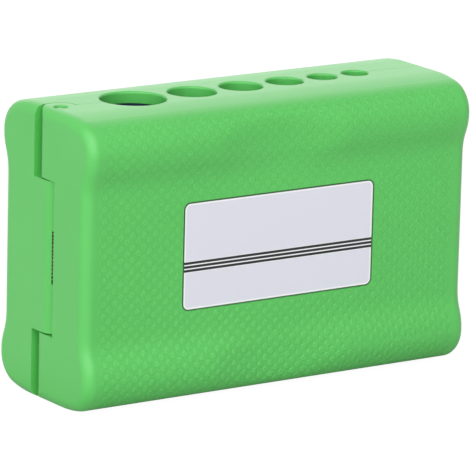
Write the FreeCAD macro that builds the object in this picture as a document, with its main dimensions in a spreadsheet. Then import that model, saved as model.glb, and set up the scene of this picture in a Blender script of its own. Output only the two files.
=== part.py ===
"""Tube cutter: a hinged two-half case that clamps round a cable tube and slits it lengthwise.

Six round ports of falling size run through the case from top to bottom, halved by the parting plane.
Each half holds a guide block with half-round grooves in line with the ports, one blade for each groove
and a steel plate behind the blades. A torsion spring round the hinge pin keeps the case shut.

Frame, in millimetres: X runs along the row of ports towards the smallest one, Y from the front half to
the back half, Z up along the ports. The origin is under the middle of the case, on the surface it stands on.
"""

import FreeCAD
import Part
import Sketcher
import math
import os

FRONT = -1
BACK = 1
SIDES = {"front": FRONT, "back": BACK}
PORTS = range(1, 7)
SPRING_TURNS = 12

# Driving dimensions: name, size in millimetres (angles in degrees), and what it measures.
SIZES = (
    ("port_1_diameter", 15.0, "largest port, nearest to the hinge"),
    ("port_2_diameter", 11.2, "second port"),
    ("port_3_diameter", 10.0, "third port"),
    ("port_4_diameter", 8.65, "fourth port"),
    ("port_5_diameter", 6.9, "fifth port"),
    ("port_6_diameter", 6.15, "smallest port, nearest to the free end"),
    ("port_web", 2.6, "material left between neighbouring ports"),
    ("port_rim_round", 0.5, "rounding of the port rims"),
    ("height", 66.9, "case from bottom to top"),
    ("end_wall", 2.7, "top and bottom walls of the case"),
    ("face_wall", 2.7, "front and back walls at the waist"),
    ("waist_depth", 2.0, "how far the waist lies in from the bulges"),
    ("waist_blend", 9.4, "height of the S-shaped blend into the waist"),
    ("bulge_land", 0.2, "straight stretch at the widest place of a bulge"),
    ("corner_radius", 7.3, "long corners of the section"),
    ("crown_radius", 30.0, "gentle crown between flat and corner"),
    ("crown_angle", 12.75, "turn of the crown, in degrees"),
    ("end_round", 2.6, "rounding of the two end faces"),
    ("scoop_length", 35.2, "finger scoop across the bulges, at their widest place"),
    ("scoop_depth", 1.85, "finger scoop"),
    ("scoop_round", 1.5, "rounding of the scoop's edges"),
    ("parting_gap", 0.1, "gap between the closed halves"),
    ("barrel_radius", 4.0, "hinge knuckles, from the pin axis"),
    ("hinge_clearance", 0.3, "round a knuckle, in the other half"),
    ("knuckle_gap", 0.3, "between the tab and each front knuckle, along the pin"),
    ("tab_length", 34.75, "middle knuckle, on the back half"),
    ("pin_diameter", 3.0, "hinge pin"),
    ("pin_recess", 0.5, "pin ends below the faces of the case"),
    ("pin_press_clearance", 0.02, "radial, pin in the front knuckles"),
    ("pin_running_clearance", 0.05, "radial, pin in the tab"),
    ("pin_rim_round", 0.4, "rounding of the pin hole rims, and of the pin ends"),
    ("spring_wire", 0.85, "wire of the hinge spring"),
    ("spring_pitch", 0.9, "hinge spring, from turn to turn"),
    ("spring_pin_gap", 0.45, "radial, between the pin and its spring"),
    ("spring_space", 0.4, "radial, round the spring in the notch of the tab"),
    ("spring_end_space", 0.2, "beyond the spring at each end of its notch"),
    ("spring_leg_fit", 0.15, "radial, round the legs of the spring in their holes"),
    ("spring_leg_stop", 0.2, "legs of the spring short of the tray"),
    ("hinge_wall", 1.7, "between the hinge and the tray"),
    ("tray_fit", 0.1, "round the guide block in its tray"),
    ("tray_corner", 1.5, "corners of the tray"),
    ("guide_margin", 5.3, "guide block beyond the row of grooves, at each end"),
    ("free_end", 11.7, "case beyond the tray, at the free end"),
    ("free_end_rib", 1.6, "wall between the tray and the hollow free end"),
    ("side_wall", 2.8, "end wall at the free end"),
    ("block_inset", 0.1, "guide block behind the parting plane"),
    ("block_floor", 2.2, "guide block behind the deepest groove"),
    ("plate_thickness", 1.2, "steel plate behind the blades"),
    ("ledge_height", 3.4, "ledges that carry the plate, above the tray floor"),
    ("blade_thickness", 0.5, "blades"),
    ("blade_reach", 0.9, "how far a blade stands into its groove"),
    ("blade_tip_height", 1.4, "sloping part of a blade"),
    ("blade_tip_length", 1.0, "flat at the point of a blade"),
    ("blade_neck_length", 8.0, "blade along its slot"),
    ("blade_ear_length", 12.0, "blade along its trapped base"),
    ("blade_ear_height", 1.0, "trapped base of a blade"),
    ("blade_bevel", 0.2, "ground bevel on each side of the edge"),
    ("blade_slot_fit", 0.05, "round a blade in its slot"),
    ("screw_diameter", 2.0, "screws that hold the guide block"),
    ("screw_fit", 0.1, "radial, round the screws in block and plate"),
    ("screw_seat_clearance", 0.02, "radial, screws in the ledges"),
    ("screw_head_diameter", 3.4, "screw heads"),
    ("screw_head_height", 1.5, "screw heads"),
    ("screw_head_recess", 0.3, "screw heads below the face of the block"),
    ("screw_bite", 3.0, "screw tips into the ledges"),
    ("screw_tip_space", 0.3, "hole beyond the screw tips"),
    ("screw_end_margin", 8.0, "screws from the ends of the block"),
    ("label_width", 51.3, "label on the front waist"),
    ("label_height", 24.6, "label"),
    ("label_corner", 1.6, "label corners"),
    ("label_rise", 0.3, "label above mid-height"),
    ("label_thickness", 0.2, "label"),
    ("label_fit", 0.15, "round the label in its recess"),
    ("label_recess", 0.25, "depth of the recess"),
)

# Places worked out from the driving dimensions.
PLACES = (
    ("row_length", " + ".join(f"sizes.port_{i}_diameter" for i in PORTS)
     + f" + {len(PORTS) - 1} * sizes.port_web"),
    ("slot_radius", "sizes.barrel_radius + sizes.hinge_clearance"),
    ("block_length", "places.row_length + 2 * sizes.guide_margin"),
    ("tray_length", "places.block_length + 2 * sizes.tray_fit"),
    ("width", "sizes.barrel_radius + places.slot_radius + sizes.hinge_wall + places.tray_length"
     " + sizes.free_end"),
    ("free_face", "places.width / 2"),
    ("hinge_face", "-places.width / 2"),
    ("pin_x", "places.hinge_face + sizes.barrel_radius"),
    ("tray_left", "places.pin_x + places.slot_radius + sizes.hinge_wall"),
    ("tray_right", "places.tray_left + places.tray_length"),
    ("block_left", "places.tray_left + sizes.tray_fit"),
    ("block_right", "places.tray_right - sizes.tray_fit"),
    ("row_left", "places.block_left + sizes.guide_margin"),
    ("row_right", "places.block_right - sizes.guide_margin"),
    ("middle", "sizes.height / 2"),
    ("tray_low", "sizes.end_wall"),
    ("tray_high", "sizes.height - sizes.end_wall"),
    ("block_low", "places.tray_low + sizes.tray_fit"),
    ("block_high", "places.tray_high - sizes.tray_fit"),
    ("tab_low", "places.middle - sizes.tab_length / 2"),
    ("tab_high", "places.middle + sizes.tab_length / 2"),
    ("coil_radius", "sizes.pin_diameter / 2 + sizes.spring_pin_gap + sizes.spring_wire / 2"),
    ("coil_rise", f"{SPRING_TURNS} * sizes.spring_pitch"),
    ("coil_low", "places.middle - places.coil_rise / 2"),
    ("coil_high", "places.middle + places.coil_rise / 2"),
    ("notch_radius", "places.coil_radius + sizes.spring_wire / 2 + sizes.spring_space"),
    ("notch_low", "places.coil_low - sizes.spring_wire / 2 - sizes.spring_end_space"),
    ("notch_high", "places.coil_high + sizes.spring_wire / 2 + sizes.spring_end_space"),
    ("leg_end", "places.tray_left - sizes.spring_leg_stop"),
    ("block_back", "sizes.port_1_diameter / 2 + sizes.block_floor"),
    ("plate_back", "places.block_back + sizes.plate_thickness"),
    ("tray_floor", "places.plate_back + sizes.ledge_height"),
    ("waist_face", "places.tray_floor + sizes.face_wall"),
    ("half_depth", "places.waist_face + sizes.waist_depth"),
    ("crown_rise", "sizes.crown_radius * (1 - cos(sizes.crown_angle * 1 deg))"),
    ("crown_end", "places.half_depth - sizes.corner_radius * (1 - sin(sizes.crown_angle * 1 deg))"),
    ("land_end", "places.crown_end - sizes.crown_radius * sin(sizes.crown_angle * 1 deg)"),
    ("corner_rise", "places.crown_rise + sizes.corner_radius * cos(sizes.crown_angle * 1 deg)"),
    ("bulge_top", "places.corner_rise + sizes.bulge_land"),
    ("waist_start", "places.bulge_top + sizes.waist_blend"),
    ("blend_radius", "(sizes.waist_blend ^ 2 + sizes.waist_depth ^ 2) / (4 * sizes.waist_depth)"),
    ("scoop_radius", "(sizes.scoop_length ^ 2 / 4 + sizes.scoop_depth ^ 2) / (2 * sizes.scoop_depth)"),
    ("parting", "sizes.parting_gap / 2"),
    ("screw_left", "places.block_left + sizes.guide_margin / 2"),
    ("screw_right", "places.block_right - sizes.guide_margin / 2"),
    ("screw_low", "places.block_low + sizes.screw_end_margin"),
    ("screw_high", "places.block_high - sizes.screw_end_margin"),
    ("screw_head_top", "sizes.block_inset + sizes.screw_head_recess"),
    ("screw_seat", "places.screw_head_top + sizes.screw_head_height"),
    ("screw_tip", "places.plate_back + sizes.screw_bite"),
    ("hollow_left", "places.tray_right + sizes.free_end_rib"),
    ("hollow_right", "places.free_face - sizes.side_wall"),
    ("label_left", "-sizes.label_width / 2"),
    ("label_right", "sizes.label_width / 2"),
    ("label_low", "places.middle + sizes.label_rise - sizes.label_height / 2"),
    ("label_high", "places.label_low + sizes.label_height"),
    ("label_floor", "places.waist_face - sizes.label_recess"),
)

# How far the cutting outlines run past the faces that they open.
OVERRUN = "1"

# How close two lengths lie to count as the same.
SAME = 1e-4

# Where along an edge its points are looked at.
EDGE_SHARES = (0.1, 0.5, 0.9)

doc = FreeCAD.newDocument("tube_cutter")


def fill_sheet(name, rows):
    """Makes a sheet with one named cell for each row: name, content, note."""
    sheet = doc.addObject("Spreadsheet::Sheet", name)
    for number, (alias, content, note) in enumerate(rows, start=1):
        sheet.set(f"A{number}", alias)
        sheet.set(f"B{number}", content)
        sheet.setAlias(f"B{number}", alias)
        sheet.set(f"C{number}", note)
    return sheet


sizes = fill_sheet("sizes", [(name, str(size), note) for name, size, note in SIZES])
places = fill_sheet("places", [(name, f"={formula}", "") for name, formula in PLACES])
doc.recompute()


def value(expression):
    """Number that an expression gives with the sheets as they stand."""
    return float(places.evalExpression(expression))


def port_radius(port):
    """Radius of a port, as an expression."""
    return f"sizes.port_{port}_diameter / 2"


def port_x(port):
    """Place of a port along the row, as an expression: every port follows the one before it."""
    before = "".join(f" + sizes.port_{i}_diameter + sizes.port_web" for i in range(1, port))
    return f"places.row_left{before} + {port_radius(port)}"


# Sketches.


def new_body(label):
    """An empty body that becomes the node of that name."""
    body = doc.addObject("PartDesign::Body", label)
    body.Label = label
    return body


def new_sketch(body, role, offset="0"):
    """A sketch on one of the body's origin planes, moved along that plane's normal."""
    plane = next(feature for feature in body.Origin.OriginFeatures if feature.Role == role)
    sketch = body.newObject("Sketcher::SketchObject", f"{body.Label}_sketch")
    sketch.AttachmentSupport = [(plane, "")]
    sketch.MapMode = "FlatFace"
    sketch.setExpression("AttachmentOffset.Base.z", offset)
    doc.recompute()
    return sketch


def level_sketch(body, z="0"):
    """A sketch at a height, with X across and Y up."""
    return new_sketch(body, "XY_Plane", z)


def face_sketch(body, y="0"):
    """A sketch facing the front at a depth, with X across and Z up. The plane's normal is -Y."""
    return new_sketch(body, "XZ_Plane", f"-({y})")


def section_sketch(body, x="0"):
    """A sketch across the case at a place along it, with Y across and Z up."""
    return new_sketch(body, "YZ_Plane", x)


def bind(sketch, kind, references, expression):
    """Adds a dimension to a sketch and ties it to an expression."""
    index = sketch.addConstraint(Sketcher.Constraint(kind, *references, value(expression)))
    sketch.setExpression(f"Constraints[{index}]", expression)


def place_point(sketch, element, end, across, up):
    """Ties a point of a sketch element to its two coordinates."""
    bind(sketch, "DistanceX", (-1, 1, element, end), across)
    bind(sketch, "DistanceY", (-1, 1, element, end), up)


def arc_between(start, finish, radius, turn):
    """The short arc from start to finish: turn is 1 anticlockwise, -1 clockwise."""
    chord = finish - start
    rise = max(radius ** 2 - (chord.Length / 2) ** 2, 0) ** 0.5
    normal = FreeCAD.Vector(-chord.y, chord.x, 0).normalize()
    centre = (start + finish) * 0.5 + normal * (rise * turn)
    circle = Part.Circle(centre, FreeCAD.Vector(0, 0, 1), radius)
    first, last = (start, finish) if turn > 0 else (finish, start)
    return Part.ArcOfCircle(circle, circle.parameter(first), circle.parameter(last))


def draw_outline(sketch, corners):
    """Draws a closed outline. A corner is (across, up), or (across, up, radius, turn) where an arc follows it."""
    points = [FreeCAD.Vector(value(corner[0]), value(corner[1]), 0) for corner in corners]
    ends = []
    for number, corner in enumerate(corners):
        start, finish = points[number], points[(number + 1) % len(points)]
        if len(corner) == 2:
            element = sketch.addGeometry(Part.LineSegment(start, finish), False)
            ends.append((element, 1, 2))
        else:
            radius, turn = corner[2:]
            element = sketch.addGeometry(arc_between(start, finish, value(radius), turn), False)
            ends.append((element, 1, 2) if turn > 0 else (element, 2, 1))
    for (element, _, last), (following, first, _) in zip(ends, ends[1:] + ends[:1]):
        sketch.addConstraint(Sketcher.Constraint("Coincident", element, last, following, first))
    for (element, first, _), corner in zip(ends, corners):
        place_point(sketch, element, first, corner[0], corner[1])
        if len(corner) > 2:
            bind(sketch, "Radius", (element,), corner[2])
    return sketch


def draw_box(sketch, left, right, low, high):
    """Draws a rectangle."""
    return draw_outline(sketch, [(left, low), (right, low), (right, high), (left, high)])


def draw_rounded_box(sketch, left, right, low, high, radius):
    """Draws a rectangle with rounded corners."""
    return draw_outline(sketch, [
        (f"{left} + {radius}", low),
        (f"{right} - {radius}", low, radius, 1),
        (right, f"{low} + {radius}"),
        (right, f"{high} - {radius}", radius, 1),
        (f"{right} - {radius}", high),
        (f"{left} + {radius}", high, radius, 1),
        (left, f"{high} - {radius}"),
        (left, f"{low} + {radius}", radius, 1),
    ])


def draw_circle(sketch, across, up, radius):
    """Draws a circle."""
    centre = FreeCAD.Vector(value(across), value(up), 0)
    circle = Part.Circle(centre, FreeCAD.Vector(0, 0, 1), value(radius))
    element = sketch.addGeometry(circle, False)
    place_point(sketch, element, 3, across, up)
    bind(sketch, "Radius", (element,), radius)
    return sketch


# Features.


def volume(body):
    """Volume of what the body holds so far."""
    return 0 if body.Shape.isNull() else body.Shape.Volume


def grow(body, sketch, length, reverse=False, symmetric=False):
    """Pads a sketch and makes sure that material was added."""
    before = volume(body)
    pad = body.newObject("PartDesign::Pad", f"{body.Label}_pad")
    pad.Profile = sketch
    pad.setExpression("Length", length)
    pad.Reversed = reverse
    pad.SideType = "Symmetric" if symmetric else "One side"
    doc.recompute()
    if volume(body) <= before:
        raise RuntimeError(f"{pad.Label} adds nothing")
    return pad


def cut(body, sketch, length=None, reverse=False):
    """Pockets a sketch, through everything without a length, and makes sure that material went."""
    before = volume(body)
    pocket = body.newObject("PartDesign::Pocket", f"{body.Label}_pocket")
    pocket.Profile = sketch
    pocket.Reversed = reverse
    if length is None:
        pocket.Type = "ThroughAll"
    else:
        pocket.setExpression("Length", length)
    doc.recompute()
    if volume(body) >= before:
        raise RuntimeError(f"{pocket.Label} cuts nothing")
    return pocket


def add_axis(sketch, start, finish):
    """Adds a line to a sketch, as an axis to turn about."""
    points = [FreeCAD.Vector(value(across), value(up), 0) for across, up in (start, finish)]
    element = sketch.addGeometry(Part.LineSegment(*points), True)
    place_point(sketch, element, 1, *start)
    place_point(sketch, element, 2, *finish)
    doc.recompute()


def half_turn(body, sketch, axis):
    """Turns a sketch by half a turn, backwards, about one of its axes."""
    before = volume(body)
    turn = body.newObject("PartDesign::Revolution", f"{body.Label}_turn")
    turn.Profile = sketch
    turn.ReferenceAxis = (sketch, [axis])
    turn.Angle = 180
    turn.Reversed = True
    doc.recompute()
    if volume(body) <= before:
        raise RuntimeError(f"{turn.Label} adds nothing")
    return turn


def repeat_up(body, feature, sketch, rise, count):
    """Repeats a feature up along the sketch's upright axis."""
    before = volume(body)
    pattern = body.newObject("PartDesign::LinearPattern", f"{body.Label}_pattern")
    pattern.Originals = [feature]
    pattern.Direction = (sketch, ["V_Axis"])
    pattern.setExpression("Length", rise)
    pattern.Occurrences = count
    body.Tip = pattern
    doc.recompute()
    if volume(body) <= before:
        raise RuntimeError(f"{pattern.Label} adds nothing")
    return pattern


def edges_where(body, wanted):
    """Names of the body's edges that pass a test."""
    edges = enumerate(body.Tip.Shape.Edges, start=1)
    names = [f"Edge{number}" for number, edge in edges if wanted(edge)]
    if not names:
        raise RuntimeError(f"{body.Label} has no such edge")
    return names


def round_edges(body, radius, wanted):
    """Fillets the body's edges that pass a test."""
    base = (body.Tip, edges_where(body, wanted))
    fillet = body.newObject("PartDesign::Fillet", f"{body.Label}_fillet")
    fillet.Base = base
    fillet.setExpression("Radius", radius)
    doc.recompute()
    return fillet


def bevel_edges(body, size, wanted):
    """Chamfers the body's edges that pass a test."""
    base = (body.Tip, edges_where(body, wanted))
    chamfer = body.newObject("PartDesign::Chamfer", f"{body.Label}_chamfer")
    chamfer.Base = base
    chamfer.setExpression("Size", size)
    doc.recompute()
    return chamfer


def near(first, second):
    """Whether two lengths are the same."""
    return abs(first - second) < SAME


def on_cylinder(edge, x, y, radius):
    """Whether an edge runs on an upright cylinder about the axis at (x, y)."""
    span = edge.LastParameter - edge.FirstParameter
    spots = [edge.valueAt(edge.FirstParameter + share * span) for share in EDGE_SHARES]
    return all(near(math.hypot(spot.x - x, spot.y - y), radius) for spot in spots)


def outward(side, depth):
    """Y of a depth measured from the parting plane into one half, as an expression."""
    return f"{side} * ({depth})"


# The two halves of the case.


def draw_section(body, side):
    """Outline across one half, from the far side of the hinge knuckles to the bulges and the waist."""
    lower = [
        ("-sizes.barrel_radius", "0"),
        ("places.land_end", "0", "sizes.crown_radius", side),
        ("places.crown_end", "places.crown_rise", "sizes.corner_radius", side),
        ("places.half_depth", "places.corner_rise"),
        ("places.half_depth", "places.bulge_top", "places.blend_radius", side),
        ("places.half_depth - sizes.waist_depth / 2", "places.bulge_top + sizes.waist_blend / 2",
         "places.blend_radius", -side),
        ("places.waist_face", "places.waist_start"),
    ]
    arcs = [corner[2:] for corner in lower]
    upper = [
        (across, f"sizes.height - ({up})", *arc)
        for (across, up, *_), arc in zip(reversed(lower), [*reversed(arcs[:-1]), ()])
    ]
    return draw_outline(section_sketch(body), [
        (outward(side, across), up, *arc) for across, up, *arc in lower + upper
    ])


def round_ends(body, side):
    """Rounds both end faces along the section, but not along its cut beyond the parting plane."""
    reach = value("places.free_face")
    knuckle = value(outward(-side, "sizes.barrel_radius"))

    def on_end_face(edge):
        box = edge.BoundBox
        flat = near(box.XMin, box.XMax) and near(abs(box.XMin), reach)
        return flat and not (near(box.YMin, knuckle) and near(box.YMax, knuckle))

    round_edges(body, "sizes.end_round", on_end_face)


def cut_scoop(body, side):
    """Cuts a shallow upright scoop across both bulges at mid-length, for thumb and fingers."""
    far = f"places.half_depth + {OVERRUN}"
    rise = f"(places.scoop_radius - sizes.scoop_depth - {OVERRUN})"
    half_chord = f"sqrt(places.scoop_radius ^ 2 - {rise} ^ 2)"
    sketch = draw_outline(level_sketch(body), [
        (f"-{half_chord}", outward(side, far), "places.scoop_radius", side),
        (half_chord, outward(side, far)),
    ])
    cut(body, sketch, reverse=True)
    axis_y = value(outward(side, "places.half_depth - sizes.scoop_depth + places.scoop_radius"))
    radius = value("places.scoop_radius")
    round_edges(body, "sizes.scoop_round", lambda edge: on_cylinder(edge, 0, axis_y, radius))


def cut_parting_face(body, side):
    """Clears what lies beyond the parting plane, apart from the hinge barrel about the pin."""
    far = outward(-side, f"sizes.barrel_radius + {OVERRUN}")
    face = outward(side, "places.parting")
    right = f"places.free_face + {OVERRUN}"
    left = f"places.hinge_face - {OVERRUN}"
    barrel_right = "places.pin_x + sqrt(sizes.barrel_radius ^ 2 - places.parting ^ 2)"
    sketch = level_sketch(body)
    axis = FreeCAD.Vector(value("places.pin_x"), 0, 0)
    barrel = Part.Circle(axis, FreeCAD.Vector(0, 0, 1), value("sizes.barrel_radius"))
    stations = [(left, "0"), (left, far), (right, far), (right, face), (barrel_right, face)]
    points = [FreeCAD.Vector(value(across), value(up), 0) for across, up in stations]
    tangent = FreeCAD.Vector(value("places.hinge_face"), 0, 0)
    runs = [*zip(points, points[1:]), (tangent, points[0])]
    lines = [sketch.addGeometry(Part.LineSegment(*run), False) for run in runs]
    arc_ends = (points[-1], tangent) if side == FRONT else (tangent, points[-1])
    arc = sketch.addGeometry(Part.ArcOfCircle(barrel, *(barrel.parameter(end) for end in arc_ends)), False)
    face_end, tangent_end = (1, 2) if side == FRONT else (2, 1)
    joints = [(one, 2, two, 1) for one, two in zip(lines, lines[1:-1])]
    joints += [(lines[-2], 2, arc, face_end), (arc, tangent_end, lines[-1], 1), (lines[-1], 2, lines[0], 1)]
    for joint in joints:
        sketch.addConstraint(Sketcher.Constraint("Coincident", *joint))
    for line, (across, up) in zip(lines, stations[:-1]):
        place_point(sketch, line, 1, across, up)
    place_point(sketch, arc, 3, "places.pin_x", "0")
    bind(sketch, "Radius", (arc,), "sizes.barrel_radius")
    bind(sketch, "DistanceY", (-1, 1, arc, face_end), face)
    bind(sketch, "DistanceY", (-1, 1, arc, tangent_end), "0")
    cut(body, sketch, reverse=True)


def cut_knuckle_slot(body, low, high):
    """Clears a slot for the other half's knuckle between two heights, open at the hinge face."""
    length = f"{high} - ({low})"
    ring = draw_circle(level_sketch(body, low), "places.pin_x", "0", "places.slot_radius")
    cut(body, ring, length, reverse=True)
    mouth = draw_box(level_sketch(body, low), f"places.hinge_face - {OVERRUN}", "places.pin_x",
                     "-places.slot_radius", "places.slot_radius")
    cut(body, mouth, length, reverse=True)


def cut_tray(body, side):
    """Hollows a half: a tray on ledges for the guide block and plate, and the free end beyond a rib."""
    into = side == FRONT
    tray = ("places.tray_left", "places.tray_right", "places.tray_low", "places.tray_high")
    cut(body, draw_rounded_box(face_sketch(body), *tray, "sizes.tray_corner"), "places.plate_back", into)
    between = ("places.row_left", "places.row_right", "places.tray_low", "places.tray_high")
    cut(body, draw_rounded_box(face_sketch(body), *between, "sizes.tray_corner"), "places.tray_floor", into)
    hollow = ("places.hollow_left", "places.hollow_right", "places.tray_low", "places.tray_high")
    cut(body, draw_rounded_box(face_sketch(body), *hollow, "sizes.tray_corner"), "places.tray_floor", into)


def draw_screw_circles(body, y, radius):
    """Sketches a circle at each of the four screws of a half."""
    sketch = face_sketch(body, y)
    for across in ("places.screw_left", "places.screw_right"):
        for up in ("places.screw_low", "places.screw_high"):
            draw_circle(sketch, across, up, radius)
    return sketch


def draw_ports(body):
    """Sketches the six ports, looking down on them."""
    sketch = level_sketch(body)
    for port in PORTS:
        draw_circle(sketch, port_x(port), "0", port_radius(port))
    return sketch


def round_port_rims(body):
    """Rounds the port rims on the top and bottom of a half."""
    heights = (0, value("sizes.height"))
    ports = [(value(port_x(port)), value(port_radius(port))) for port in PORTS]
    crown = value("places.crown_rise")

    def on_rim(edge):
        box = edge.BoundBox
        on_face = any(max(abs(box.ZMin - z), abs(box.ZMax - z)) <= crown for z in heights)
        return on_face and any(on_cylinder(edge, x, 0, radius) for x, radius in ports)

    round_edges(body, "sizes.port_rim_round", on_rim)


def round_pin_rims(body):
    """Rounds the rims of the pin hole on the top and bottom faces."""
    heights = (0, value("sizes.height"))
    radius = value("sizes.pin_diameter / 2 + sizes.pin_press_clearance")

    def on_pin_rim(edge):
        box = edge.BoundBox
        round_hole = isinstance(edge.Curve, Part.Circle) and near(edge.Curve.Radius, radius)
        return round_hole and near(box.ZMin, box.ZMax) and any(near(box.ZMin, z) for z in heights)

    round_edges(body, "sizes.pin_rim_round", on_pin_rim)


def cut_spring_notch(body):
    """Cuts a notch for the hinge spring into the tab, open towards the front half."""
    length = "places.notch_high - places.notch_low"
    ring = draw_circle(level_sketch(body, "places.notch_low"), "places.pin_x", "0", "places.notch_radius")
    cut(body, ring, length, reverse=True)
    mouth = draw_box(level_sketch(body, "places.notch_low"),
                     "places.pin_x - places.notch_radius", "places.pin_x + places.slot_radius",
                     f"-sizes.barrel_radius - {OVERRUN}", "places.parting")
    cut(body, mouth, length, reverse=True)


def cut_leg_hole(body, side, height):
    """Drills a hole for a leg of the hinge spring, from the tray towards the pin."""
    hole = draw_circle(section_sketch(body, "places.tray_left"), outward(side, "places.coil_radius"), height,
                       "sizes.spring_wire / 2 + sizes.spring_leg_fit")
    cut(body, hole, "places.tray_left - places.pin_x")


def build_shell(name, side):
    """Half of the case, without what only one of the halves has."""
    body = new_body(name)
    grow(body, draw_section(body, side), "places.width", symmetric=True)
    round_ends(body, side)
    cut_scoop(body, side)
    cut_parting_face(body, side)
    cut_tray(body, side)
    pilots = draw_screw_circles(body, outward(side, "places.plate_back"),
                                "sizes.screw_diameter / 2 + sizes.screw_seat_clearance")
    cut(body, pilots, "sizes.screw_bite + sizes.screw_tip_space", reverse=side == FRONT)
    cut(body, draw_ports(body), reverse=True)
    round_port_rims(body)
    return body


def build_front_shell():
    """Front half: it carries the two outer knuckles, the hinge pin and the label."""
    body = build_shell("front_shell", FRONT)
    cut_knuckle_slot(body, "places.tab_low - sizes.knuckle_gap", "places.tab_high + sizes.knuckle_gap")
    bore = draw_circle(level_sketch(body), "places.pin_x", "0",
                       "sizes.pin_diameter / 2 + sizes.pin_press_clearance")
    cut(body, bore, reverse=True)
    round_pin_rims(body)
    cut_leg_hole(body, FRONT, "places.coil_low")
    recess = draw_rounded_box(face_sketch(body, outward(FRONT, "places.waist_face")),
                              "places.label_left - sizes.label_fit", "places.label_right + sizes.label_fit",
                              "places.label_low - sizes.label_fit", "places.label_high + sizes.label_fit",
                              "(sizes.label_corner + sizes.label_fit)")
    cut(body, recess, "sizes.label_recess")
    return body


def build_back_shell():
    """Back half: it carries the middle knuckle, the tab, with a notch for the hinge spring."""
    body = build_shell("back_shell", BACK)
    cut_knuckle_slot(body, "0", "places.tab_low")
    cut_knuckle_slot(body, "places.tab_high", "sizes.height")
    bore = draw_circle(level_sketch(body), "places.pin_x", "0",
                       "sizes.pin_diameter / 2 + sizes.pin_running_clearance")
    cut(body, bore, reverse=True)
    cut_spring_notch(body)
    cut_leg_hole(body, BACK, "places.coil_high")
    return body


def build_hinge_pin():
    """Pin, held by the front knuckles, on which the tab turns."""
    body = new_body("hinge_pin")
    disc = draw_circle(level_sketch(body, "sizes.pin_recess"), "places.pin_x", "0", "sizes.pin_diameter / 2")
    grow(body, disc, "sizes.height - 2 * sizes.pin_recess")
    bevel_edges(body, "sizes.pin_rim_round", lambda edge: isinstance(edge.Curve, Part.Circle))
    return body


def draw_wire(body, side, height):
    """Sketches the section of the spring's wire at the front or the back of the pin."""
    return draw_circle(section_sketch(body, "places.pin_x"), outward(side, "places.coil_radius"), height,
                       "sizes.spring_wire / 2")


def build_hinge_spring():
    """Torsion spring round the pin: level half turns outside, rising half turns inside, two straight legs."""
    body = new_body("hinge_spring")
    body.AllowCompound = True
    level = draw_wire(body, FRONT, "places.coil_low")
    repeat_up(body, half_turn(body, level, "V_Axis"), level, "places.coil_rise", SPRING_TURNS + 1)
    rising = draw_wire(body, BACK, "places.coil_low")
    add_axis(rising, ("-sizes.spring_pitch / 2", "places.coil_low + sizes.spring_pitch / 2 - places.coil_radius"),
             ("sizes.spring_pitch / 2", "places.coil_low + sizes.spring_pitch / 2 + places.coil_radius"))
    repeat_up(body, half_turn(body, rising, "Axis0"), level,
              "places.coil_rise - sizes.spring_pitch", SPRING_TURNS)
    for side, height in ((FRONT, "places.coil_low"), (BACK, "places.coil_high")):
        grow(body, draw_wire(body, side, height), "places.leg_end - places.pin_x")
    return body


def build_label():
    """Blank label in the recess of the front waist."""
    body = new_body("label_plate")
    outline = draw_rounded_box(face_sketch(body, outward(FRONT, "places.label_floor")),
                               "places.label_left", "places.label_right",
                               "places.label_low", "places.label_high", "sizes.label_corner")
    grow(body, outline, "sizes.label_thickness")
    return body


# What each half holds.


def draw_block_outline(body, y):
    """Sketches the outline that the guide block and its plate share."""
    return draw_rounded_box(face_sketch(body, y), "places.block_left", "places.block_right",
                            "places.block_low", "places.block_high", "sizes.tray_corner")


def cut_blade_slots(body, side):
    """Cuts the six blade slots, with a wider step at the back for the ears."""
    necks = face_sketch(body, outward(side, "places.block_back"))
    ears = face_sketch(body, outward(side, "places.block_back"))
    half_gap = "(sizes.blade_thickness / 2 + sizes.blade_slot_fit)"
    for port in PORTS:
        across = (f"{port_x(port)} - {half_gap}", f"{port_x(port)} + {half_gap}")
        for sketch, length in ((necks, "sizes.blade_neck_length"), (ears, "sizes.blade_ear_length")):
            half_length = f"({length} / 2 + sizes.blade_slot_fit)"
            draw_box(sketch, *across, f"places.middle - {half_length}", f"places.middle + {half_length}")
    cut(body, necks, reverse=side == BACK)
    cut(body, ears, "sizes.blade_ear_height", reverse=side == BACK)


def build_guide_block(name, side):
    """Block with half-round grooves in line with the ports."""
    body = new_body(name)
    grow(body, draw_block_outline(body, outward(side, "sizes.block_inset")),
         "places.block_back - sizes.block_inset", reverse=side == BACK)
    cut(body, draw_ports(body), reverse=True)
    cut_blade_slots(body, side)
    face = outward(side, "sizes.block_inset")
    cut(body, draw_screw_circles(body, face, "sizes.screw_diameter / 2 + sizes.screw_fit"),
        reverse=side == FRONT)
    cut(body, draw_screw_circles(body, face, "sizes.screw_head_diameter / 2 + sizes.screw_fit"),
        "places.screw_seat - sizes.block_inset", reverse=side == FRONT)
    return body


def build_backing_plate(name, side):
    """Steel plate that traps the ears of the blades in the guide block."""
    body = new_body(name)
    grow(body, draw_block_outline(body, outward(side, "places.block_back")),
         "sizes.plate_thickness", reverse=side == BACK)
    cut(body, draw_screw_circles(body, outward(side, "places.block_back"),
                                 "sizes.screw_diameter / 2 + sizes.screw_fit"), reverse=side == FRONT)
    return body


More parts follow.
